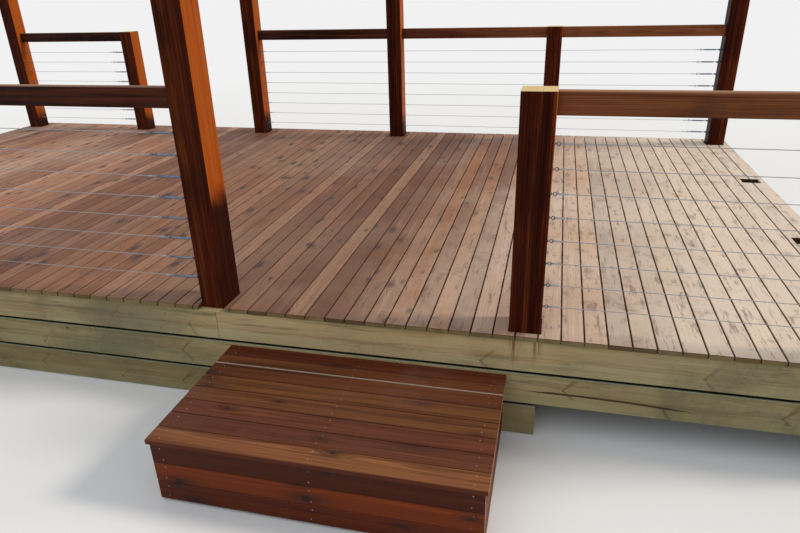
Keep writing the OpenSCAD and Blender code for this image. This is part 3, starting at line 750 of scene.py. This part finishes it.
def steel(name, tint, roughness, strand):
    """Stainless steel with fine scratches: twisted strands on a wire, threads on a bare rod."""
    material, tree = new_material(name)
    position = put(tree, "ShaderNodeTexCoord").outputs["Object"]
    at = split(position)
    # How far a place is from the axis of its wire
    row = maths("GREATER_THAN", at["Y"], 0)
    centre = scaled(row, back_y - front_y, front_y)
    sideways = minus(at["Y"], centre)
    count = maths("DIVIDE", minus(at["Z"], first_wire), wire_step)
    upwards = minus(count, maths("ROUND", count))
    upwards = times(upwards, wire_step)
    radius = maths("SQRT", maths("ADD", times(sideways, sideways), times(upwards, upwards)))
    scratch = long_noise(position, (160, 2500, 2500))
    soot = noise(position, 45, 3, 0.6)
    if strand:
        angle = maths("ARCTAN2", upwards, sideways)
        wave = scaled(at["X"], math.tau / strand_lay, angle)
        wave = maths("SINE", times(wave, 3))
        relief = maths("POWER", maths("ABSOLUTE", wave), 0.6)
        on_part = between(radius, wire_d * 0.6, wire_d * 0.53)
        depth = 0.0005
    else:
        relief = maths("SINE", times(at["X"], math.tau / thread_pitch))
        on_part = between(radius, bare_rod_r + 0.0002, bare_rod_r)
        depth = 0.0003
    relief = times(relief, on_part)
    grooves = times(between(relief, 0.35, 0.0), on_part)
    colour = over(scratch, tint, tuple(0.8 * part for part in tint), 0.6)
    colour = over((soot, 0.5, 0.75), colour, (0.36, 0.34, 0.31), 0.6)
    colour = over(grooves, colour, (0.10, 0.10, 0.10), 0.7)
    height = scaled(scratch, 0.15, relief)
    bump = put(tree, "ShaderNodeBump", {"Strength": 1.0, "Distance": depth, "Height": height})
    rough = scaled(scratch, 0.2, roughness)
    rough = scaled(soot, 0.15, rough)
    shader = put(tree, "ShaderNodeBsdfPrincipled", {
        "Base Color": colour, "Metallic": 1.0, "Roughness": rough, "Normal": bump.outputs[0]})
    put(tree, "ShaderNodeOutputMaterial", {"Surface": shader.outputs[0]})
    return material


# The blue in the steel tints is a painted reflection of sky, faint on the wire and strong on the
# fittings
wear(steel("Stainless wire", (0.42, 0.43, 0.47), 0.22, strand=True),
     "front_left_wires", "front_right_wires", "back_left_wires", "back_right_wires")
wear(steel("Stainless fittings", (0.15, 0.20, 0.28), 0.18, strand=False),
     "front_left_turnbuckles", "front_right_turnbuckles", "back_left_turnbuckles",
     "back_right_turnbuckles", "front_wire_eyes", "back_wire_eyes")


# The box step: eight stained boards on three joists, with boards round its front and sides. The
# stain is fresher and warmer than the deck's, and sawn ends and the ripped edges show bare wood.
step_low, step_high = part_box("step_treads")
tread_pitch = 0.093
whole_treads = 6
rip_front = 0.067
rip_edge = step_low.y + whole_treads * tread_pitch + 0.003
skirt_low, skirt_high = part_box("step_front_boards")
skirt_w, skirt_pitch = 0.090, 0.092
first_skirt_z = skirt_high.z - skirt_w / 2
side_figure_y = -1.9


def step_timber(name, grain, middle, pitch, treads=False):
    """Red-brown stained pine of the step, dark on its front boards and paler on the treads."""
    wood = start_timber(name, grain, middle, pitch, ring_width=0.006, knot_size=0.013,
                        knot_share=0.55, knot_step=0.5)
    if treads:
        # From the front: a light tan board, two purplish, two orange-brown, and red at the back
        place = maths("DIVIDE", minus(wood.at["Y"], step_low.y), step_high.y - step_low.y)
        colour = colours(place, (0.0, (0.24, 0.090, 0.032)), (0.13, (0.112, 0.034, 0.017)),
                         (0.26, (0.128, 0.037, 0.018)), (0.39, (0.165, 0.058, 0.019)),
                         (0.52, (0.185, 0.068, 0.021)), (0.64, (0.135, 0.040, 0.014)),
                         (0.77, (0.150, 0.046, 0.015)), (0.88, (0.120, 0.026, 0.009)),
                         stepped=True)
        colour = over((wood.streaks, 0.44, 0.25), colour, (0.27, 0.105, 0.036), 0.4)
    else:
        # The upper board is the darkest and the one under it is the brightest
        place = maths("DIVIDE", minus(skirt_high.z, wood.at["Z"]), 3 * skirt_pitch)
        colour = colours(place,
                         (0.32, (0.066, 0.0110, 0.0022)), (0.36, (0.230, 0.040, 0.006)),
                         (0.65, (0.190, 0.032, 0.006)), (0.69, (0.110, 0.018, 0.004)))
        colour = over((wood.streaks, 0.46, 0.25), colour, (0.26, 0.060, 0.014), 0.35)
    colour = over(wood.rings, colour, (0.060, 0.0135, 0.0050), 0.45)
    colour = over((wood.streaks, 0.48, 0.70), colour, (0.045, 0.0095, 0.0045), 0.6)
    colour = over(wood.halo, colour, (0.034, 0.012, 0.009), 0.75)
    ragged = noise(wood.position, 55, 3, 0.7)
    core = times(wood.knot, scaled(ragged, 1.6, -0.1), clamp=True)
    colour = over(core, colour, (0.014, 0.009, 0.010), 0.9)
    worn = noise(wood.position, 2.6, 5, 0.62)
    if treads:
        colour = over((worn, 0.48, 0.70), colour, (0.150, 0.060, 0.042), 0.45)
    specks = noise(wood.position, 150, 2, 0.5)
    colour = over((specks, 0.70, 0.78), colour, (0.24, 0.17, 0.12), 0.5)
    ends = over(wood.rings, (0.42, 0.27, 0.13), (0.24, 0.11, 0.05), 0.6)
    ends = over((worn, 0.42, 0.62), ends, (0.22, 0.075, 0.030), 0.6)
    colour = over(wood.end_grain, colour, ends)
    if treads:
        # Painted shade: the side faces of the boards, down in the gaps between them, are painted
        # dark
        side = between(maths("ABSOLUTE", wood.faces["Y"]), 0.5, 0.8)
        colour = over(side, colour, (0.085, 0.016, 0.005), 0.9)
        # The sawn front edge of the ripped board was never stained, and shows in the wide gap
        ripped = maths("COMPARE", wood.at["Y"], rip_edge + rip_front / 4, rip_front / 2)
        ripped = times(ripped, between(wood.faces["Y"], -0.5, -0.8))
        colour = over(ripped, colour, (0.46, 0.38, 0.29), 0.95)
    roughness = scaled(worn, 0.2, 0.36)
    roughness = scaled(wood.fibre, 0.12, roughness)
    return finish_timber(wood, colour, roughness, 0.0003, sheen=0.15)


tread_middle = (0, step_low.y + board_w / 2, step_high.z - board_t / 2)
wear(step_timber("Step timber, treads", "XYZ", tread_middle, (ALL, tread_pitch, ALL), treads=True),
     "step_treads")
wear(step_timber("Step timber, front", "XZY", (0, skirt_low.y + board_t / 2, first_skirt_z),
                 (ALL, ALL, skirt_pitch)), "step_front_boards")
wear(step_timber("Step timber, sides", "YZX", (step_low.x, side_figure_y, first_skirt_z),
                 (step_high.x - step_low.x, ALL, skirt_pitch)),
     "step_left_boards", "step_right_boards")
leg_middle = middle_of("step_legs")
leg_low, leg_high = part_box("step_legs")
leg_w = 0.090
leg_pitch = (leg_high.x - leg_low.x - frame_t) / 2
wear(frame_timber("Frame timber, step legs", "ZXY", (leg_middle.x, leg_low.y + leg_w / 2, 0.1),
                  (leg_pitch, leg_high.y - leg_low.y - leg_w, ALL)), "step_legs")
wear(frame_timber("Frame timber, step joists", "YZX", (leg_middle.x, side_figure_y, 0.24),
                  (leg_pitch, ALL, ALL)), "step_frame")


# Galvanised nails hold the decking, the treads, and the boards at the front of the deck and of
# the step, two to a joist or post. All that shows is a low domed head, driven almost flush.
def select_top(piece):
    """Goes into edit mode with only the faces selected that look up."""
    bpy.ops.object.mode_set(mode="EDIT")
    bpy.ops.mesh.select_all(action="DESELECT")
    bpy.ops.object.mode_set(mode="OBJECT")
    for face in piece.data.polygons:
        face.select = face.normal.z > 0.5
    bpy.ops.object.mode_set(mode="EDIT")


zinc, tree = new_material("Dull zinc")
position = put(tree, "ShaderNodeTexCoord").outputs["Object"]
spangle = put(tree, "ShaderNodeTexVoronoi", {"Vector": position, "Scale": 700}).outputs["Color"]
rust = noise(position, 6.3, 4, 0.7)
colour = over(split(spangle)["X"], (0.42, 0.42, 0.42), (0.28, 0.28, 0.29))
colour = over((rust, 0.45, 0.62), colour, (0.16, 0.075, 0.040), 0.8)
shader = put(tree, "ShaderNodeBsdfPrincipled", {
    "Base Color": colour, "Metallic": scaled(rust, -0.6, 1.0, clamp=True),
    "Roughness": scaled(rust, 0.3, 0.35),
    "Normal": put(tree, "ShaderNodeBump", {"Strength": 0.4, "Distance": 0.0002,
                                           "Height": rust}).outputs[0]})
put(tree, "ShaderNodeOutputMaterial", {"Surface": shader.outputs[0]})

head_r, head_proud = 0.0028, 0.0003
bpy.ops.mesh.primitive_cylinder_add(vertices=8, radius=head_r, depth=2 * head_proud)
nail = bpy.context.object
select_top(nail)
bpy.ops.mesh.inset(thickness=head_r * 0.35)
bpy.ops.transform.translate(value=(0, 0, head_proud * 0.4))
bpy.ops.object.mode_set(mode="OBJECT")
nail.select_set(False)
nail.data.materials.append(zinc)

chance = random.Random(7)


def lay(pattern, name, places, facing=(0, 0, 1)):
    """Copies a pattern to every place, turned to face outwards, and joins the copies."""
    turn = Vector(facing).to_track_quat("Z", "Y").to_matrix().to_4x4()
    copies = []
    for place in places:
        copy = pattern.copy()
        copy.data = pattern.data.copy()
        spin = Matrix.Rotation(chance.uniform(0, math.tau), 4, "Z")
        copy.data.transform(Matrix.Translation(place) @ turn @ spin)
        bpy.context.scene.collection.objects.link(copy)
        copies.append(copy)
    for copy in copies:
        copy.select_set(True)
    bpy.context.view_layer.objects.active = copies[0]
    bpy.ops.object.join()
    joined = bpy.context.object
    joined.name = name
    joined.select_set(False)
    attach(joined, "root")
    return joined


def jitter(amount):
    return chance.uniform(-amount, amount)


deck_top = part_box("decking_left")[1].z
nail_spread = 0.022
deck_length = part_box("decking_right")[1].x - decking_low.x
boards = round((deck_length + board_pitch - board_w) / board_pitch)
deck_nails = []
for board in range(boards):
    x = decking_low.x + board_w / 2 + board * board_pitch
    for joist in range(joists):
        y = first_joist + joist * joist_pitch
        for side in (-1, 1):
            deck_nails.append((x + side * nail_spread + jitter(0.003), y + jitter(0.005),
                               deck_top - head_proud * 0.5))
lay(nail, "deck_nails", deck_nails)

tread_nails = []
first_step_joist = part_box("step_frame")[0].x + frame_t / 2
step_joist_xs = [first_step_joist + joist * leg_pitch for joist in range(3)]
last_tread_y = step_high.y - 0.042
rows = [step_low.y + (n + 0.5) * tread_pitch for n in range(whole_treads)]
for y in rows + [rip_edge + rip_front / 2, last_tread_y]:
    for x in step_joist_xs:
        for side in (-1, 1):
            tread_nails.append((x + jitter(0.006), y + side * nail_spread + jitter(0.003),
                                step_high.z - head_proud * 0.5))
lay(nail, "tread_nails", tread_nails)

front_nails = []
face_y = edge_face + head_proud * 0.5
for x in line_xs:
    for row in range(3):
        middle_z = joist_top - edge_w / 2 - row * edge_pitch
        # The bottom row stops before the last post
        if row < 2 or x < line_xs[-1]:
            for up in (-0.042, 0.042):
                front_nails.append((x + jitter(0.02), face_y, middle_z + up + jitter(0.006)))
for row in range(3):
    middle_z = first_skirt_z - row * skirt_pitch
    for x in step_joist_xs:
        for up in (-0.025, 0.025):
            front_nails.append((x + jitter(0.006), skirt_low.y + head_proud * 0.5,
                                middle_z + up + jitter(0.004)))
lay(nail, "front_nails", front_nails, facing=(0, -1, 0))
bpy.data.objects.remove(nail)


# Each bearer is held to each post and stump by two galvanised bolts, one above the other and a
# little to the side. Their heads are on the right, and their nuts and thread ends on the left.
washer_r, washer_t = 0.015, 0.0025
hex_r, hex_t = 0.0104, 0.0075
chamfer, nut_wall = 0.001, 0.0032
thread_end = 0.009
bolt_offset = 0.025


def hexagon(top):
    """A bolt's head or nut, 18 mm across its flats, on a washer. Top is how far a thread stands
    out of it, or 0 for a head."""
    bpy.ops.mesh.primitive_cylinder_add(vertices=20, radius=washer_r, depth=washer_t,
                                        location=(0, 0, washer_t / 2))
    washer = bpy.context.object
    bpy.ops.mesh.primitive_cylinder_add(vertices=6, radius=hex_r, depth=hex_t,
                                        location=(0, 0, washer_t + hex_t / 2 - 0.0001))
    piece = bpy.context.object
    for part, inset, rise in ((washer, chamfer, 0), (piece, 0.0012, 0.0007)):
        bpy.ops.object.select_all(action="DESELECT")
        bpy.context.view_layer.objects.active = part
        part.select_set(True)
        select_top(part)
        bpy.ops.mesh.inset(thickness=inset)
        bpy.ops.transform.translate(value=(0, 0, rise))
        if part == piece and top:
            bpy.ops.mesh.inset(thickness=nut_wall)
            bpy.ops.mesh.extrude_region_move(TRANSFORM_OT_translate={"value": (0, 0, top)})
            bpy.ops.mesh.inset(thickness=chamfer)
            bpy.ops.transform.translate(value=(0, 0, 0.0008))
        bpy.ops.object.mode_set(mode="OBJECT")
    washer.select_set(True)
    bpy.context.view_layer.objects.active = washer
    piece.select_set(True)
    bpy.ops.object.join()
    bpy.ops.object.transform_apply(location=True)
    made = bpy.context.object
    made.select_set(False)
    made.data.materials.clear()
    made.data.materials.append(zinc)
    return made


bearer_middle = middle_of("bearers").z
stump_low, stump_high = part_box("stumps")
post_half = stump_high.x - line_xs[-1]
post_ys = (front_y, stump_low.y + post_half, stump_high.y - post_half, back_y)
heads, nuts = [], []
for x in line_xs:
    for y in post_ys:
        for up in (-bolt_offset, bolt_offset):
            spot = (y + up, bearer_middle + up)
            if x < line_xs[-1]:
                heads.append((x + post_half + frame_t, *spot))
            if x > line_xs[0]:
                nuts.append((x - post_half - frame_t, *spot))
for name, places, top, facing in (("bolt_heads", heads, 0, (1, 0, 0)),
                                  ("bolt_nuts", nuts, thread_end, (-1, 0, 0))):
    pattern = hexagon(top)
    lay(pattern, name, places, facing)
    bpy.data.objects.remove(pattern)
